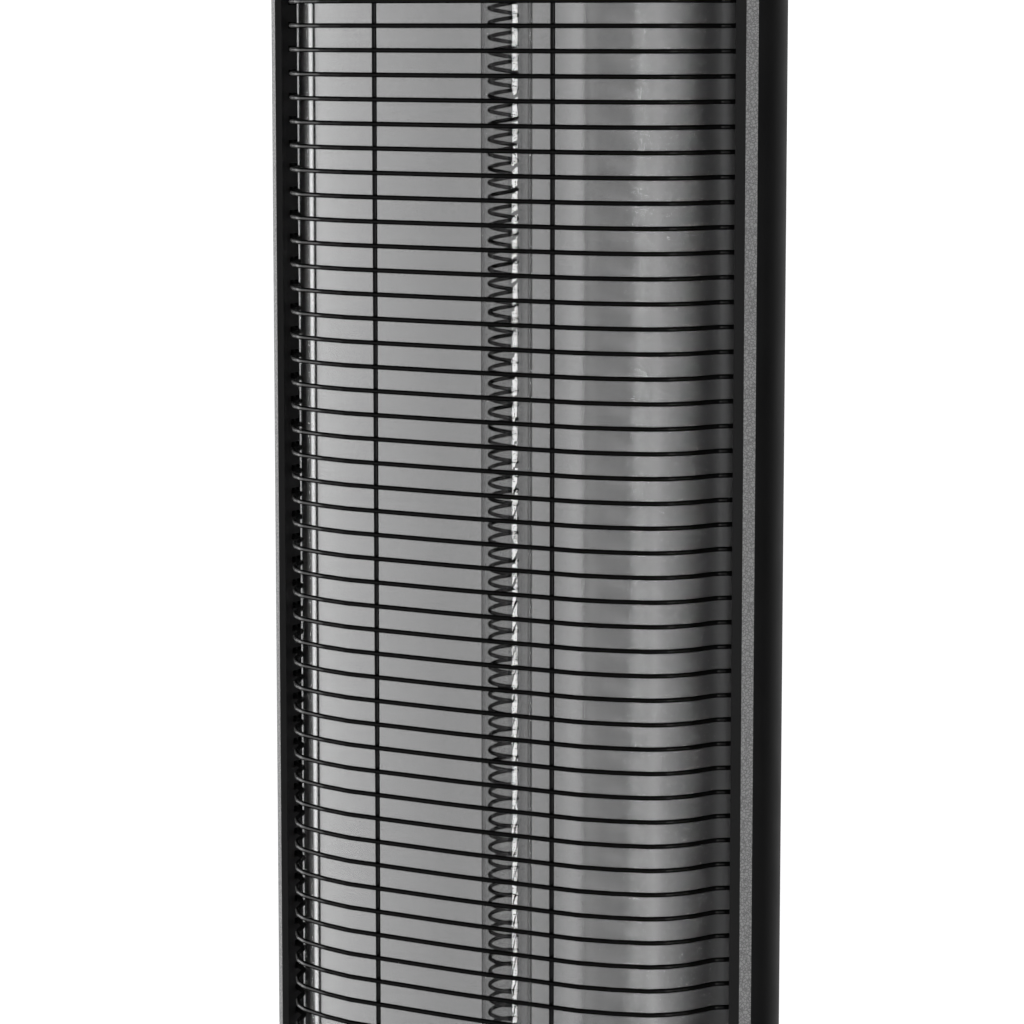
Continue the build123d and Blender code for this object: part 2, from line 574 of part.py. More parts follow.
shell = revolved(half_section(0.0, 4.0)) - revolved(half_section(T, 2.0))
shell = shell + cyl(25.0, 38.0, 48.0)
shell = shell - cyl(21.0, 30, 60)
shell = shell - ring(30.5, 20.9, 49.0, 52.0)
POSTS = [(137.6 * math.cos(math.radians(a)), 137.6 * math.sin(math.radians(a))) for a in (0, 60, 120, 180, 240, 300)]
inner_dome = revolved(half_section(T - 0.6, 2.0))
for x, y in POSTS:
    shell = shell + ((cyl(4.0, 5.6, 40.0, x, y) & inner_dome) - cyl(1.7, 0, 18, x, y))
for sx in (-1, 1):
    # motor posts hang from the dome
    post = cyl(4.0, 23.25, 49.0, sx * 29.5, CENTRE) & inner_dome
    shell = shell + (post - cyl(1.6, 20, 32, sx * 29.5, CENTRE))
# inlet in the rear wall
shell = shell - ycyl(5.6, 120, 150, 0, 12.0)
PARTS["base_shell"] = one(shell)

PARTS["motor_screws"] = group([cyl(1.6, 22.0, 31.0, sx * 29.5, CENTRE) + cyl(3.0, 20.2, 22.0, sx * 29.5, CENTRE) for sx in (-1, 1)])
plate = cyl(141.4, 4.0, 5.5)
FEET = [(116 * math.cos(math.radians(a)), 116 * math.sin(math.radians(a))) for a in (45, 135, 225, 315)]
for x, y in FEET:
    plate = plate - cyl(3.0, 0, 10, x, y)
for x, y in POSTS:
    plate = plate - cyl(2.1, 0, 10, x, y)
plate = plate - cyl(4.6, 0, 10, 0, PLUNGER_Y)
PARTS["base_plate"] = one(plate)
PARTS["base_screws"] = group([cyl(1.7, 3.8, 15.0, x, y) + cyl(3.4, 2.2, 4.0, x, y) - box(x - 2.6, x + 2.6, y - 0.5, y + 0.5, 1, 3.2) for x, y in POSTS])
feet = []
for x, y in FEET:
    f = cyl(10.0, 0.0, 4.0, x, y)
    f = fillet(f.edges().filter_by(lambda e: e.center().Z < 0.1), 0.8)
    feet.append(f + cyl(3.0, 3.9, 5.5, x, y))
PARTS["rubber_feet"] = group(feet)

ballast = ring(133.4, 98.0, 5.55, 17.5)
wedge = prism(plan([Polyline((0, 0), (85, 160), (-85, 160), close=True)]), 0, 30)
ballast = ballast - wedge
PARTS["ballast_weight"] = one(ballast)

bush = ring(30.0, 18.05, 49.1, 51.0) + ring(20.95, 18.05, 38.0, 50.0)
PARTS["pivot_bush"] = one(bush)

# tip-over switch
pl = cyl(4.0, 0.0, 11.0, 0, PLUNGER_Y)
pl = fillet(pl.edges().filter_by(lambda e: e.center().Z < 0.1), 0.6)
pl = pl + cyl(6.6, 9.9, 11.0, 0, PLUNGER_Y) + cyl(2.4, 10.5, 21.0, 0, PLUNGER_Y)
PARTS["tip_plunger"] = one(pl)
gd = ring(9.0, 7.0, 5.55, 19.0, 0, PLUNGER_Y) + (cyl(9.0, 17.2, 19.0, 0, PLUNGER_Y))
gd = gd + box(-14, 14, PLUNGER_Y - 5, PLUNGER_Y + 5, 5.55, 7.0) - cyl(7.0, 5, 17.2, 0, PLUNGER_Y)
gd = gd - cyl(2.8, 10, 30, 0, PLUNGER_Y)
gd = gd + box(-16, 16, PLUNGER_Y + 6.5, PLUNGER_Y + 8.6, 5.55, 38.0) - cyl(7.0, 5, 17.2, 0, PLUNGER_Y)
PARTS["plunger_guide"] = one(gd)
PARTS["plunger_spring"] = one(ring(4.6, 3.8, 11.1, 17.1, 0, PLUNGER_Y))
ts = box(-14, 14, PLUNGER_Y - 4.0, PLUNGER_Y + 6.0, 23.0, 38.0) + cyl(1.6, 21.35, 23.2, 0, PLUNGER_Y)
PARTS["tip_switch"] = one(ts)

PARTS["terminal_block_base"] = one(box(58, 84, -16, 16, 5.55, 19.0))
PARTS["supply_lead"] = one(lead([(58.0, 0, 12.0), (0.0, 0, 12.0), (0.0, 0, 89.6)], 6.4, [10.0]))
# inlet grommet: inner flange behind the wall, nose flush with the outside
gl = (ycyl(8.0, 138.5, 141.5, 0, 12.0) - box(-10, 10, 130, 145, 0, 5.9)) + ycyl(5.5, 136.0, 144.75, 0, 12.0) - ycyl(3.6, 130, 150, 0, 12.0)
PARTS["cord_inlet"] = one(gl)

for name, shape in PARTS.items():
    export_step(shape, "parts/" + name + ".step")
print(len(PARTS), "nodes")
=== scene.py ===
import bpy
import json
import math
import random
from mathutils import Vector, Matrix


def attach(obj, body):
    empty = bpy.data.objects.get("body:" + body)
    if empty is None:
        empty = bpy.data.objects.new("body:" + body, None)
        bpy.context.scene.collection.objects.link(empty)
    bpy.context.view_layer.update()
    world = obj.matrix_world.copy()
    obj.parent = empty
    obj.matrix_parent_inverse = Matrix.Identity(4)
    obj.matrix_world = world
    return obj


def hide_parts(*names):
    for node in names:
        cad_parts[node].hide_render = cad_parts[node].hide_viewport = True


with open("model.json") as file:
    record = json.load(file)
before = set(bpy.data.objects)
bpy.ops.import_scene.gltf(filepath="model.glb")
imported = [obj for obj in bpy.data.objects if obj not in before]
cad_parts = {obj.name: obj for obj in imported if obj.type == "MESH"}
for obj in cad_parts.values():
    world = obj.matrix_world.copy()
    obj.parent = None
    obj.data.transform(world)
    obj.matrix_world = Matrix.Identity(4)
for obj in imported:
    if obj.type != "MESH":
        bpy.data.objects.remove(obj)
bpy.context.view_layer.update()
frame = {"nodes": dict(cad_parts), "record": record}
scene = bpy.context.scene
nodes = frame["nodes"]
random.seed(11)

# ------------------------------------------------------------- shared sizes (m)
FRONT = 0.046            # guard front, ahead of the swivel axis
PITCH = 0.0075
WIRE_TOP = 0.84875
TUBE_Y = 0.0288 - FRONT
OPEN_LO, OPEN_HI = 0.205, 0.855


# --------------------------------------------------------------------- helpers
def new_mesh(name, verts, faces, smooth=True, uvs=None):
    me = bpy.data.meshes.new(name)
    me.from_pydata([tuple(v) for v in verts], [], faces)
    if uvs is not None:
        layer = me.uv_layers.new(name="UVMap")
        for poly in me.polygons:
            for li in poly.loop_indices:
                layer.data[li].uv = uvs[li]
    me.polygons.foreach_set("use_smooth", [smooth] * len(me.polygons))
    me.update()
    me.validate()
    ob = bpy.data.objects.new(name, me)
    scene.collection.objects.link(ob)
    return ob


def strip_uvs(faces, uv_of):
    """Loop order list of UVs for faces given a per-corner function."""
    out = []
    for f in faces:
        for v in f:
            out.append(uv_of(f, v))
    return out


def tube_mesh(name, path, radius, sides=10, closed_ends=True, squash=None):
    """Round bar along a list of points, with UVs: u along the bar, v around it."""
    pts = [Vector(p) for p in path]
    n = len(pts)
    tang = []
    for i in range(n):
        a, b = pts[max(0, i - 1)], pts[min(n - 1, i + 1)]
        tang.append((b - a).normalized())
    ref = Vector((0, 0, 1)) if abs(tang[0].z) < 0.9 else Vector((1, 0, 0))
    normal = (ref - tang[0] * ref.dot(tang[0])).normalized()
    verts, length, run = [], [0.0], 0.0
    for i in range(n):
        if i:
            normal = (normal - tang[i] * normal.dot(tang[i])).normalized()
            run += (pts[i] - pts[i - 1]).length
            length.append(run)
        side = tang[i].cross(normal)
        r = radius(i) if callable(radius) else radius
        for k in range(sides):
            a = 2 * math.pi * k / sides
            verts.append(pts[i] + normal * (r * math.cos(a)) + side * (r * math.sin(a)))
    faces, uvs = [], []
    for i in range(n - 1):
        for k in range(sides):
            k2 = (k + 1) % sides
            faces.append((i * sides + k, i * sides + k2, (i + 1) * sides + k2, (i + 1) * sides + k))
            u0, u1 = length[i], length[i + 1]
            v0, v1 = k / sides, (k + 1) / sides
            uvs += [(u0, v0), (u0, v1), (u1, v1), (u1, v0)]
    if closed_ends:
        faces.append(tuple(range(sides))[::-1])
        uvs += [(0.0, 0.0)] * sides
        faces.append(tuple((n - 1) * sides + k for k in range(sides)))
        uvs += [(run, 0.0)] * sides
    ob = new_mesh(name, verts, faces, True, uvs)
    return ob


def extrude_profile(name, loop, z0, z1, smooth_angle=40.0, closed=True, uv_along=True):
    """Closed plan loop (x, y) extruded from z0 to z1. UV: u up the piece, v round the loop."""
    n = len(loop)
    verts = [(x, y, z0) for x, y in loop] + [(x, y, z1) for x, y in loop]
    s = [0.0]
    for i in range(n):
        a, b = loop[i], loop[(i + 1) % n]
        s.append(s[-1] + math.hypot(b[0] - a[0], b[1] - a[1]))
    faces, uvs = [], []
    for i in range(n):
        j = (i + 1) % n
        faces.append((i, j, n + j, n + i))
        uvs += [(z0, s[i]), (z0, s[i + 1]), (z1, s[i + 1]), (z1, s[i])]
    faces.append(tuple(range(n))[::-1])
    uvs += [(z0, 0.0)] * n
    faces.append(tuple(range(n, 2 * n)))
    uvs += [(z1, 0.0)] * n
    ob = new_mesh(name, verts, faces, True, uvs)
    sharpen(ob, smooth_angle)
    return ob


def sharpen(ob, angle=35.0):
    """Marks edges sharper than the angle, so that smooth shading stops there."""
    import bmesh
    bm = bmesh.new()
    bm.from_mesh(ob.data)
    lim = math.radians(angle)
    for e in bm.edges:
        if len(e.link_faces) != 2 or e.calc_face_angle(0.0) > lim:
            e.smooth = False
    bm.to_mesh(ob.data)
    bm.free()
    ob.data.update()


# ------------------------------------------------------------------- materials
class Nodes:
    """Small helper round one material's node tree."""

    def __init__(self, name):
        self.mat = bpy.data.materials.new(name)
        self.mat.use_nodes = True
        self.nt = self.mat.node_tree
        self.bsdf = self.nt.nodes["Principled BSDF"]

    def n(self, kind, **inputs):
        node = self.nt.nodes.new(kind)
        for k, v in inputs.items():
            key = k.replace("_", " ")
            if hasattr(node, k) and key not in node.inputs:
                setattr(node, k, v)
            else:
                self.put(node.inputs[key], v)
        return node

    def put(self, socket, v):
        if isinstance(v, bpy.types.NodeSocket):
            self.nt.links.new(v, socket)
        else:
            socket.default_value = v

    def coord(self, kind="Object", scale=(1, 1, 1), rot=(0, 0, 0), loc=(0, 0, 0)):
        tc = self.nt.nodes.new("ShaderNodeTexCoord")
        mp = self.nt.nodes.new("ShaderNodeMapping")
        self.nt.links.new(tc.outputs[kind], mp.inputs["Vector"])
        mp.inputs["Scale"].default_value = scale
        mp.inputs["Rotation"].default_value = rot
        mp.inputs["Location"].default_value = loc
        return mp.outputs["Vector"]

    def noise(self, vec, scale, detail=2.0, rough=0.5, distortion=0.0):
        t = self.nt.nodes.new("ShaderNodeTexNoise")
        self.nt.links.new(vec, t.inputs["Vector"])
        t.inputs["Scale"].default_value = scale
        t.inputs["Detail"].default_value = detail
        t.inputs["Roughness"].default_value = rough
        t.inputs["Distortion"].default_value = distortion
        return t.outputs["Fac"]

    def voronoi(self, vec, scale, feature="F1", randomness=1.0, out="Distance"):
        t = self.nt.nodes.new("ShaderNodeTexVoronoi")
        t.feature = feature
        self.nt.links.new(vec, t.inputs["Vector"])
        t.inputs["Scale"].default_value = scale
        t.inputs["Randomness"].default_value = randomness
        return t.outputs[out]

    def math(self, op, a, b=0.0, c=0.0, clamp=False):
        m = self.nt.nodes.new("ShaderNodeMath")
        m.operation = op
        m.use_clamp = clamp
        for s, v in zip(m.inputs, (a, b, c)):
            self.put(s, v)
        return m.outputs[0]

    def mix(self, fac, a, b):
        m = self.nt.nodes.new("ShaderNodeMix")
        m.data_type = "RGBA"
        self.put(m.inputs[0], fac)
        self.put(m.inputs[6], a)
        self.put(m.inputs[7], b)
        return m.outputs[2]

    def ramp(self, fac, lo, hi, v0, v1):
        m = self.nt.nodes.new("ShaderNodeMapRange")
        self.put(m.inputs["Value"], fac)
        m.inputs["From Min"].default_value = lo
        m.inputs["From Max"].default_value = hi
        m.inputs["To Min"].default_value = v0
        m.inputs["To Max"].default_value = v1
        return m.outputs["Result"]

    def bump(self, height, strength, distance, normal=None):
        b = self.nt.nodes.new("ShaderNodeBump")
        self.put(b.inputs["Height"], height)
        b.inputs["Strength"].default_value = strength
        b.inputs["Distance"].default_value = distance
        if normal is not None:
            self.nt.links.new(normal, b.inputs["Normal"])
        return b.outputs["Normal"]

    def set(self, **kw):
        for k, v in kw.items():
            self.put(self.bsdf.inputs[k.replace("_", " ")], v)
        return self


def rgb(r, g=None, b=None):
    g = r if g is None else g
    b = r if b is None else b
    return (r, g, b, 1.0)


def moulded(name, base, rough, grain=900.0, depth=0.00003, spec=0.5, coat=0.0, smear=0.05):
    """Moulded or sprayed finish: slight colour drift, fine surface texture, uneven gloss."""
    m = Nodes(name)
    v = m.coord()
    drift = m.noise(v, 14.0, 4.0, 0.6)
    fine = m.noise(v, grain, 2.0, 0.55)
    m.set(Base_Color=m.mix(m.ramp(drift, 0.3, 0.7, 0.0, 1.0), rgb(*[c * 0.86 for c in base]), rgb(*[min(1, c * 1.12) for c in base])),
          Roughness=m.ramp(m.noise(v, 46.0, 5.0, 0.65), 0.3, 0.7, rough - smear, rough + smear),
          Specular_IOR_Level=spec, Coat_Weight=coat,
          Normal=m.bump(fine, 1.0, depth))
    if coat:
        m.set(Coat_Roughness=0.06)
    return m.mat


MATS = {}
MATS["housing_black"] = moulded("housing_black", (0.0065, 0.0065, 0.0067), 0.42, 1300.0, 0.000012)
MATS["black_plastic"] = moulded("black_plastic", (0.0062, 0.0062, 0.0064), 0.40, 1500.0, 0.00001)
MATS["gloss_black"] = moulded("gloss_black", (0.006, 0.006, 0.0062), 0.2, 240.0, 0.000006, smear=0.03)
MATS["wire_black"] = moulded("wire_black", (0.003, 0.003, 0.003), 0.24, 900.0, 0.000004, spec=0.13, smear=0.03)
MATS["polymer_black"] = moulded("polymer_black", (0.02, 0.02, 0.021), 0.45, 1500.0, 0.00001)
MATS["polymer_white"] = moulded("polymer_white", (0.74, 0.735, 0.70), 0.38, 1500.0, 0.00001)
MATS["rubber_black"] = moulded("rubber_black", (0.018, 0.018, 0.018), 0.75, 2200.0, 0.00002, spec=0.35)
MATS["sleeve_white"] = moulded("sleeve_white", (0.72, 0.70, 0.64), 0.6, 1800.0, 0.00001, spec=0.4)
MATS["sleeve_black"] = moulded("sleeve_black", (0.02, 0.02, 0.02), 0.5, 1800.0, 0.00001, spec=0.4)
MATS["lens_red"] = moulded("lens_red", (0.42, 0.02, 0.012), 0.08, 900.0, 0.000003, coat=0.6, smear=0.02)
MATS["iron"] = moulded("iron", (0.05, 0.05, 0.052), 0.6, 500.0, 0.00012)
MATS["steel_dark"] = moulded("steel_dark", (0.03, 0.03, 0.031), 0.45, 900.0, 0.00002)


def brushed(name, base, rough, along=(1.0, 1.0, 1.0), metallic=1.0):
    m = Nodes(name)
    v = m.coord(scale=along)
    st = m.noise(v, 260.0, 3.0, 0.6)
    m.set(Base_Color=m.mix(m.ramp(st, 0.3, 0.7, 0.0, 1.0), rgb(*[c * 0.9 for c in base]), rgb(*[min(1, c * 1.06) for c in base])),
          Metallic=metallic, Roughness=m.ramp(st, 0.3, 0.7, rough - 0.05, rough + 0.06), Normal=m.bump(st, 1.0, 0.000012))
    return m.mat


MATS["steel"] = brushed("steel", (0.56, 0.56, 0.57), 0.32, (1.0, 1.0, 0.06))


def ceramic():
    m = Nodes("ceramic_white")
    v = m.coord()
    speck = m.voronoi(v, 1400.0)
    m.set(Base_Color=m.mix(m.ramp(speck, 0.1, 0.3, 0.0, 1.0), rgb(0.62, 0.6, 0.55), rgb(0.8, 0.785, 0.74)),
          Roughness=m.ramp(m.noise(v, 80.0, 4.0), 0.3, 0.7, 0.62, 0.74), Normal=m.bump(m.noise(v, 1500.0, 3.0), 1.0, 0.00004))
    return m.mat


MATS["ceramic_white"] = ceramic()


def satin_sheet():
    """Rolled satin aluminium: fine lines across the trough, blurred along the height."""
    m = Nodes("reflector_aluminium")
    lines = m.coord("UV", scale=(5200.0, 9.0, 1.0))
    broad = m.coord("UV", scale=(700.0, 3.0, 1.0))
    a = m.noise(lines, 1.0, 3.0, 0.6)
    b = m.noise(broad, 1.0, 3.0, 0.55)
    both = m.math("ADD", m.math("MULTIPLY", a, 0.6), m.math("MULTIPLY", b, 0.4))
    tan = m.nt.nodes.new("ShaderNodeTangent")
    tan.direction_type = "UV_MAP"
    tan.uv_map = "UVMap"
    m.set(Base_Color=m.mix(m.ramp(both, 0.3, 0.7, 0.0, 1.0), rgb(0.86, 0.862, 0.866), rgb(0.925, 0.926, 0.93)),
          Metallic=1.0, Roughness=0.26, Anisotropic=1.0, Tangent=tan.outputs[0],
          Normal=m.bump(both, 0.6, 0.000004))
    return m.mat


MATS["reflector_aluminium"] = satin_sheet()


def plain_aluminium():
    m = Nodes("reflector_ends")
    v = m.coord(scale=(1.0, 30.0, 1.0))
    st = m.noise(v, 200.0, 3.0)
    m.set(Base_Color=m.mix(st, rgb(0.8, 0.8, 0.805), rgb(0.9, 0.9, 0.905)), Metallic=1.0,
          Roughness=m.ramp(st, 0.3, 0.7, 0.26, 0.34), Normal=m.bump(st, 1.0, 0.00001))
    return m.mat


REFLECTOR_ENDS = plain_aluminium()


def quartz():
    m = Nodes("quartz")
    v = m.coord(scale=(1.0, 1.0, 0.08))
    draw = m.noise(v, 420.0, 2.0, 0.5)
    m.set(Base_Color=m.mix(m.ramp(draw, 0.3, 0.7, 0.0, 1.0), rgb(0.80, 0.80, 0.80), rgb(0.84, 0.84, 0.84)),
          Roughness=0.0, IOR=1.46, Transmission_Weight=1.0, Specular_Tint=rgb(0.35),
          Normal=m.bump(draw, 1.0, 0.0000003))
    return m.mat


MATS["quartz"] = quartz()


def carbon():
    m = Nodes("carbon")
    uv = m.coord("UV", scale=(1.0, 1.0, 1.0))
    sep = m.nt.nodes.new("ShaderNodeSeparateXYZ")
    m.nt.links.new(uv, sep.inputs[0])
    # woven sleeve: two crossing sets of fibres
    a = m.math("SINE", m.math("ADD", m.math("MULTIPLY", sep.outputs[0], 9000.0), m.math("MULTIPLY", sep.outputs[1], 6 * 2 * math.pi)))
    b = m.math("SINE", m.math("SUBTRACT", m.math("MULTIPLY", sep.outputs[0], 9000.0), m.math("MULTIPLY", sep.outputs[1], 6 * 2 * math.pi)))
    weave = m.math("MAXIMUM", a, b)
    # Base colour is near black where the strand turns away from the view and dark grey where it faces it, times the
    # weave: a painted sheen along each strand's core and painted shade at its rims. The specular level follows the
    # same facing mask.
    lw = m.nt.nodes.new("ShaderNodeLayerWeight")
    lw.inputs["Blend"].default_value = 0.5
    painted_core_sheen = m.math("POWER", m.math("SUBTRACT", 1.0, lw.outputs["Facing"]), 1.6)
    weave_and_painted_sheen = m.math("MULTIPLY", painted_core_sheen, m.ramp(weave, -0.6, 1.0, 0.75, 1.1))
    m.set(Base_Color=m.mix(weave_and_painted_sheen, rgb(0.001), rgb(0.03, 0.03, 0.031)),
          Roughness=m.ramp(weave, -1.0, 1.0, 0.36, 0.26), Specular_IOR_Level=m.math("MULTIPLY", painted_core_sheen, 0.35),
          Normal=m.bump(weave, 0.4, 0.00002))
    return m.mat


MATS["carbon"] = carbon()


def grained():
    """Light grey strip with a fine leather-like grain."""
    m = Nodes("grained_strip")
    v = m.coord(scale=(1.0, 1.0, 1.0))
    wob = m.nt.nodes.new("ShaderNodeTexNoise")
    m.nt.links.new(v, wob.inputs["Vector"])
    wob.inputs["Scale"].default_value = 900.0
    wob.inputs["Detail"].default_value = 2.0
    shift = m.nt.nodes.new("ShaderNodeVectorMath")
    shift.operation = "MULTIPLY_ADD"
    m.nt.links.new(wob.outputs["Color"], shift.inputs[0])
    shift.inputs[1].default_value = (0.0010, 0.0010, 0.0010)
    m.nt.links.new(v, shift.inputs[2])
    cell = m.voronoi(shift.outputs[0], 1080.0, "DISTANCE_TO_EDGE")
    small = m.voronoi(shift.outputs[0], 2200.0, "DISTANCE_TO_EDGE")
    pebble = m.math("ADD", m.ramp(cell, 0.0, 0.22, 0.0, 1.0), m.math("MULTIPLY", m.ramp(small, 0.0, 0.25, 0.0, 1.0), 0.35))
    m.set(Base_Color=m.mix(m.ramp(pebble, 0.15, 1.0, 0.0, 1.0), rgb(0.165, 0.165, 0.165), rgb(0.355, 0.355, 0.357)),
          Roughness=m.ramp(pebble, 0.0, 1.3, 0.6, 0.45), Normal=m.bump(pebble, 0.9, 0.00009))
    return m.mat


MATS["grained_strip"] = grained()

# The right bezel gets a darker, less glossy copy of the black plastic: painted shade on that side of the heater, not a
# different finish.
BEZEL_RIGHT_SHADED = moulded("bezel_right_painted_shade", (0.005, 0.005, 0.0052), 0.42, 1500.0, 0.00001, spec=0.3)
slot_of = {s["node"]: s["material_slot"] for s in frame["record"]["subparts"]}
for name, ob in nodes.items():
    mat = MATS[slot_of[name]]
    if name.startswith("reflector_end"):
        mat = REFLECTOR_ENDS
    # right bezel: the darker copy, painted shade
    if name == "bezel_right":
        mat = BEZEL_RIGHT_SHADED
    ob.data.materials.clear()
    ob.data.materials.append(mat)


# -------------------------------------------------------------------- reflector
def arc_points(c, r, a0, a1, n):
    return [(c[0] + r * math.cos(math.radians(a0 + (a1 - a0) * k / n)), c[1] + r * math.sin(math.radians(a0 + (a1 - a0) * k / n))) for k in range(n + 1)]


def reflector_loop():
    """Plan outline of the folded sheet, right side first, in millimetres behind the guard front."""
    rb, bend_c, r0, ra, rm, rs, sheet, fold = 7.85, (73.38, 32.93), 13.4, 55.6, 81.0, 95.0, 0.8, 1.5
    j1 = (bend_c[0] + rb * math.cos(math.radians(ra)), bend_c[1] + rb * math.sin(math.radians(ra)))
    cs = (j1[0] - rs * math.cos(math.radians(ra)), j1[1] - rs * math.sin(math.radians(ra)))
    j2 = (cs[0] + rs * math.cos(math.radians(rm)), cs[1] + rs * math.sin(math.radians(rm)))
    rc = j2[0] / math.cos(math.radians(rm))
    cc = (0.0, j2[1] - rc * math.sin(math.radians(rm)))

    def half(t, n1, n2, n3):
        return arc_points(bend_c, rb + t, r0, ra, n1)[:-1] + arc_points(cs, rs + t, ra, rm, n2)[:-1] + arc_points(cc, rc + t, rm, 90.0, n3)
    inner = half(0.0, 22, 44, 20)
    # nose round the fold, from the inner face to the fold's outer face
    nose_c = (bend_c[0] + (rb + fold / 2) * math.cos(math.radians(r0)), bend_c[1] + (rb + fold / 2) * math.sin(math.radians(r0)))
    nose = arc_points(nose_c, fold / 2, r0 - 180.0, r0, 12)[1:-1]
    outer_fold = arc_points(bend_c, rb + fold, r0, r0 + 21.0, 8)
    step = arc_points(bend_c, rb + sheet, r0 + 21.0, ra, 6)
    rest = arc_points(cs, rs + sheet, ra, rm, 14)[1:-1] + arc_points(cc, rc + sheet, rm, 90.0, 6)
    outer = outer_fold + step + rest
    right = inner[::-1] + nose + outer        # centre, out along the inside, back along the outside
    left = [(-x, y) for x, y in right[::-1]][1:-1]
    loop = right + left
    return [(x / 1000.0, y / 1000.0 - FRONT) for x, y in loop]


reflector = extrude_profile("reflector_sheet", reflector_loop(), OPEN_LO + 0.0001, OPEN_HI - 0.0001, 40.0)
reflector.data.materials.append(MATS["reflector_aluminium"])
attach(reflector, "column")
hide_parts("reflector")


# -------------------------------------------------------------------- lamp tube
def ring_tube(name, cx, cy, r_out, r_in, z0, z1, sides=128):
    verts, faces, uvs = [], [], []
    for r, z in ((r_out, z0), (r_out, z1), (r_in, z1), (r_in, z0)):
        for k in range(sides):
            a = 2 * math.pi * k / sides
            verts.append((cx + r * math.cos(a), cy + r * math.sin(a), z))
    for q in range(4):
        q2 = (q + 1) % 4
        for k in range(sides):
            k2 = (k + 1) % sides
            faces.append((q * sides + k, q * sides + k2, q2 * sides + k2, q2 * sides + k))
    ob = new_mesh(name, verts, faces, True)
    sharpen(ob, 50.0)
    return ob


tube = ring_tube("quartz_lamp_tube", 0.0, TUBE_Y, 0.008, 0.007, 0.192, 0.866)
tube.data.materials.append(MATS["quartz"])
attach(tube, "column")
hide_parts("quartz_tube")

# --------------------------------------------------------------- carbon element
CAM_Z = WIRE_TOP - 21 * PITCH + 0.00183
COIL_PITCH = 0.00447
coil_c = (-0.00095, TUBE_Y - 0.00055)
R_COIL = 0.0043
z_lo, z_hi = 0.2176, 0.8424
steps = 20
turns = (z_hi - z_lo) / COIL_PITCH
count = int(turns * steps)
# the left-hand turning point, seen along the camera's heading, lies at CAM_Z + 0.00355 + n pitches
left_angle = math.radians(30.7 + 180.0)
phase_z = CAM_Z + 0.00355
path = []
for i in range(count + 1):
    z = z_lo + (z_hi - z_lo) * i / count
    ang = left_angle - 2 * math.pi * (z - phase_z) / COIL_PITCH
    path.append((coil_c[0] + R_COIL * math.cos(ang), coil_c[1] + R_COIL * math.sin(ang), z))
coil = tube_mesh("carbon_spiral", path, 0.00064, 12)
coil.data.materials.append(MATS["carbon"])
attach(coil, "column")
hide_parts("carbon_coil")

# ------------------------------------------------------------------------ stage
floor_me = bpy.data.meshes.new("studio_floor")
S = 14.0
floor_me.from_pydata([(-S, -S, 0), (S, -S, 0), (S, S, 0), (-S, S, 0)], [], [(0, 1, 2, 3)])
floor = bpy.data.objects.new("studio_floor", floor_me)
scene.collection.objects.link(floor)
fm = Nodes("studio_floor")
fm.set(Base_Color=rgb(0.86), Roughness=0.9, Specular_IOR_Level=0.1, Emission_Color=rgb(1.0), Emission_Strength=1.0)
floor_me.materials.append(fm.mat)
floor.visible_glossy = False
floor.visible_transmission = False

# world: a studio in directions. phi runs from the guard's facing direction (-Y) towards +X
world = bpy.data.worlds.new("studio")
scene.world = world
world.use_nodes = True
world.cycles.sampling_method = "NONE"
wt = world.node_tree
wt.nodes.clear()


def wn(kind):
    return wt.nodes.new(kind)


def wmath(op, a, b=0.0, c=0.0, clamp=False):
    m = wn("ShaderNodeMath")
    m.operation = op
    m.use_clamp = clamp
    for s, v in zip(m.inputs, (a, b, c)):
        if isinstance(v, bpy.types.NodeSocket):
            wt.links.new(v, s)
        else:
            s.default_value = v
    return m.outputs[0]


tc = wn("ShaderNodeTexCoord")
sep = wn("ShaderNodeSeparateXYZ")
wt.links.new(tc.outputs["Generated"], sep.inputs[0])
phi = wmath("ARCTAN2", sep.outputs[0], wmath("MULTIPLY", sep.outputs[1], -1.0))
fac = wmath("ADD", wmath("DIVIDE", phi, 2 * math.pi), 0.5)
ramp = wn("ShaderNodeValToRGB")
wt.links.new(fac, ramp.inputs[0])
STOPS = [(-180, 0.4), (-112, 0.2), (-92, 0.08), (-84, 0.03), (-72, 0.03), (-66, 0.035), (-60, 0.10), (-54, 0.38), (-50, 0.51), (-48, 0.60),
         (-44, 0.93), (-38.5, 1.20), (-36.5, 1.15), (-34.6, 0.56), (-32, 0.465), (-15, 0.485), (6, 0.60), (18, 0.675), (28, 0.78), (37.3, 1.0), (37.8, 0.0), (50.0, 0.0),
         (50.5, 1.5), (56, 1.38), (66, 1.33), (70, 0.27), (76, 0.02), (124, 0.0), (136, 0.14), (150, 0.32), (180, 0.4)]
cr = ramp.color_ramp
cr.interpolation = "LINEAR"
while len(cr.elements) > 1:
    cr.elements.remove(cr.elements[-1])
cr.elements[0].position = 0.0
cr.elements[0].color = rgb(STOPS[0][1])
for deg, val in STOPS[1:]:
    e = cr.elements.new((deg + 180.0) / 360.0)
    e.color = rgb(val)
# the lit band lies round the horizon; ceiling and ground are dark
elev = wmath("MULTIPLY", wmath("ARCSINE", sep.outputs[2]), 180.0 / math.pi)


def edge(lo, hi, v0, v1):
    n = wn("ShaderNodeMapRange")
    n.interpolation_type = "SMOOTHSTEP"
    wt.links.new(elev, n.inputs["Value"])
    for key, v in (("From Min", lo), ("From Max", hi), ("To Min", v0), ("To Max", v1)):
        n.inputs[key].default_value = v
    return n.outputs["Result"]


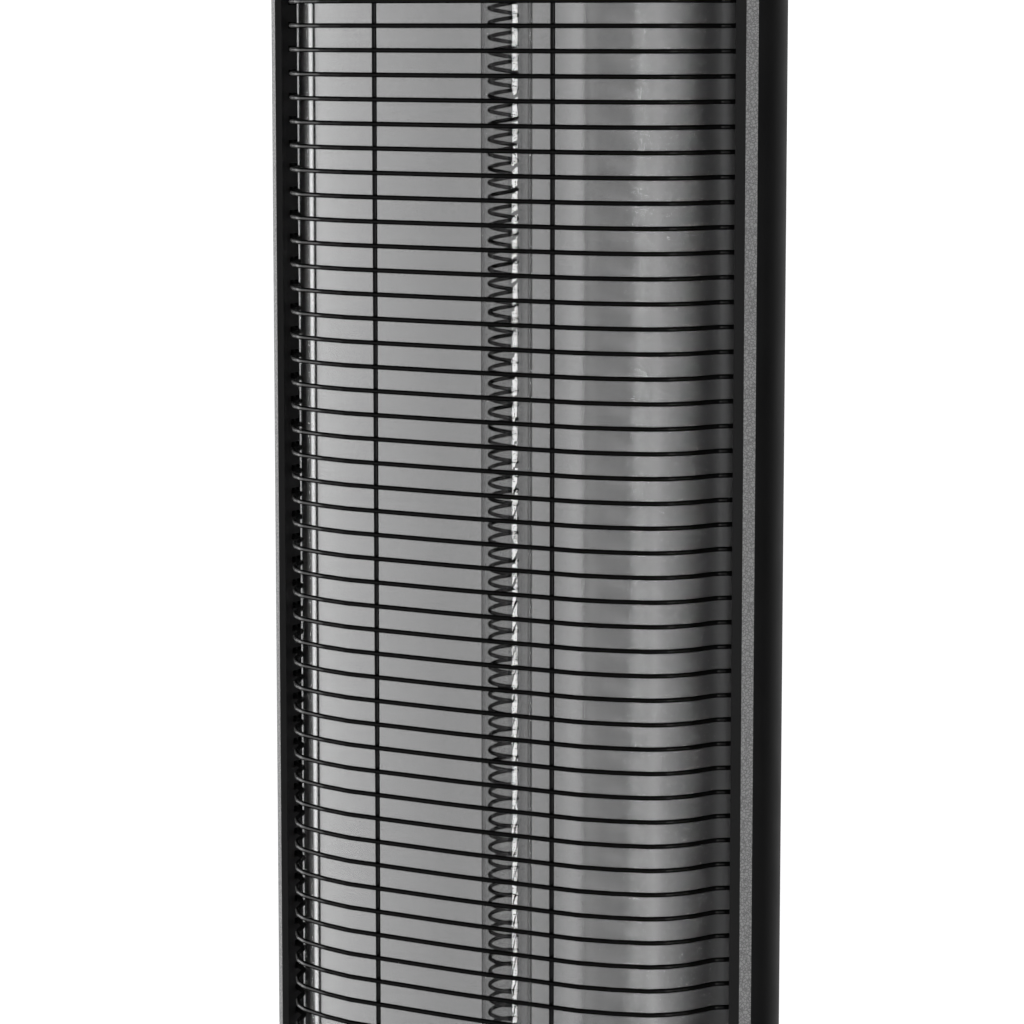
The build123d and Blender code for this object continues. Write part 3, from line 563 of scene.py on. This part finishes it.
band = wmath("MULTIPLY", edge(-40.0, -24.0, 0.06, 1.0), edge(18.0, 34.0, 1.0, 0.06))
lp = wn("ShaderNodeLightPath")
met = wmath("GREATER_THAN", wmath("SUBTRACT", lp.outputs["Ray Depth"], lp.outputs["Transmission Depth"]), 2.5)
share = wmath("MULTIPLY_ADD", wmath("GREATER_THAN", lp.outputs["Transmission Depth"], 0.5), -0.6, 0.985)
hold = wmath("SUBTRACT", 1.0, wmath("MULTIPLY", met, share))
light = wmath("MULTIPLY", wmath("MULTIPLY", ramp.outputs["Color"], band), hold)
bg = wn("ShaderNodeBackground")
wt.links.new(light, bg.inputs["Strength"])
bg.inputs["Color"].default_value = rgb(1.0)
white = wn("ShaderNodeBackground")
white.inputs["Color"].default_value = rgb(1.0)
white.inputs["Strength"].default_value = 1.15
mx = wn("ShaderNodeMixShader")
wt.links.new(lp.outputs["Is Camera Ray"], mx.inputs[0])
wt.links.new(bg.outputs[0], mx.inputs[1])
wt.links.new(white.outputs[0], mx.inputs[2])
out = wn("ShaderNodeOutputWorld")
wt.links.new(mx.outputs[0], out.inputs["Surface"])


def softbox(name, phi_deg, dist, z, width, height, radiance, only=None):
    """Rectangular soft light facing the column. radiance is that of its face."""
    li = bpy.data.lights.new(name, "AREA")
    li.shape = "RECTANGLE"
    li.size, li.size_y = width, height
    li.energy = radiance * math.pi * width * height
    ob = bpy.data.objects.new(name, li)
    scene.collection.objects.link(ob)
    a = math.radians(phi_deg)
    ob.location = (dist * math.sin(a), -dist * math.cos(a), z)
    ob.rotation_euler = (math.radians(90), 0, a)
    if only:
        coll = bpy.data.collections.new(name + "_on")
        for o in only:
            coll.objects.link(o)
        ob.light_linking.receiver_collection = coll
    return ob


dark_set = [nodes[n] for n in ("trim_strip_left", "trim_strip_right",
                                              "rear_housing", "top_cover", "top_cap", "control_panel", "column_base", "base_shell", "selector_knob")]
for nm, dist, width, power in (("strip_light", 2.0, 0.94, 27.0), ("strip_light_core", 1.98, 0.60, 16.0)):
    softbox(nm, 66.8, dist, 0.50, width, 1.5, power, [tube]).visible_transmission = False
softbox("strip_light_coil", 66.8, 1.96, 0.50, 0.60, 1.5, 2.0, [coil])
softbox("strip_light_wires", 64.0, 2.02, 0.50, 0.94, 1.5, 3.7, [nodes["guard_wires"], nodes["guard_uprights"]])
softbox("side_light_wires", -84.0, 2.02, 0.50, 1.6, 1.5, 4.8, [nodes["guard_wires"]])
softbox("side_light", -84.0, 2.0, 0.50, 1.6, 1.5, 3.3, dark_set)
softbox("bezel_light", 78.0, 2.0, 0.50, 1.2, 1.5, 11.0, [nodes["bezel_left"]])

# ----------------------------------------------------------------------- camera
cam_data = bpy.data.cameras.new("camera")
cam = bpy.data.objects.new("camera", cam_data)
scene.collection.objects.link(cam)
cam_data.lens = 135.0
cam_data.sensor_width = 36.0
cam_data.clip_start, cam_data.clip_end = 0.05, 60.0
cam.location = (0.6114, -FRONT - 0.9977, CAM_Z)
cam.rotation_euler = (math.radians(90.0 - 7.307), 0.0, math.radians(30.7))
scene.camera = cam
scene.view_settings.view_transform = "Standard"
scene.view_settings.look = "None"
